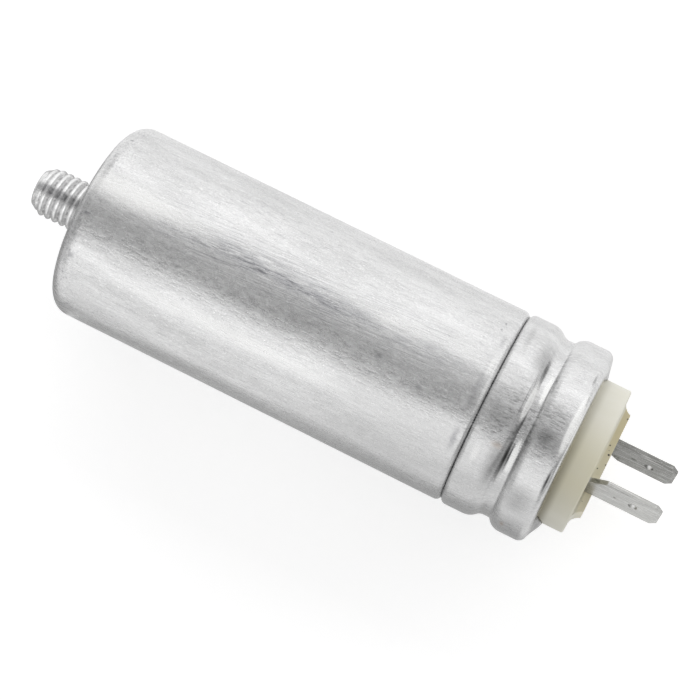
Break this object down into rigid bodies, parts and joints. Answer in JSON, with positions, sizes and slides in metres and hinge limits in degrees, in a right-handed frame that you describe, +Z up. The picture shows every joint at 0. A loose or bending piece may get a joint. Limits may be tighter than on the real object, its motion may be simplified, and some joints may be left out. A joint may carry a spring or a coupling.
{
  "type": "motor run capacitor",
  "caption": "Round metal can capacitor with a threaded stud on its base, rolled grooves near the rim and flat push-on tabs on an ivory plastic cover.",
  "frame": {"origin": "centre of the can's base, at the root of the mounting stud", "axes": "+X along the can from the stud to the tabs, +Z up with the can lying on its side"},
  "size_m": [0.1085, 0.0322, 0.0322],
  "materials": {
    "can_aluminium": "matte drawn aluminium",
    "cover_plastic": "ivory moulded plastic",
    "tab_metal": "tinned brass strip",
    "seal_rubber": "black rubber",
    "film": "metallised film",
    "sprayed_zinc": "grainy sprayed metal",
    "clear_plastic": "natural moulded plastic",
    "pressboard": "brown pressboard",
    "resin": "cast resin",
    "copper_wire": "bare copper wire",
    "sleeve_plastic": "soft red sleeve"
  },
  "bodies": {
    "root": {"can": "can_aluminium", "terminal_cover": "cover_plastic", "rim_seal": "seal_rubber", "tab_near": "tab_metal", "tab_far": "tab_metal", "film_winding": "film", "core_tube": "clear_plastic", "sprayed_end_lower": "sprayed_zinc", "sprayed_end_upper": "sprayed_zinc", "insulating_cup": "clear_plastic", "insulating_disc": "pressboard", "potting_resin": "resin", "lead_short": "copper_wire", "lead_long": "copper_wire", "lead_sleeve": "sleeve_plastic"}
  },
  "joints": []
}
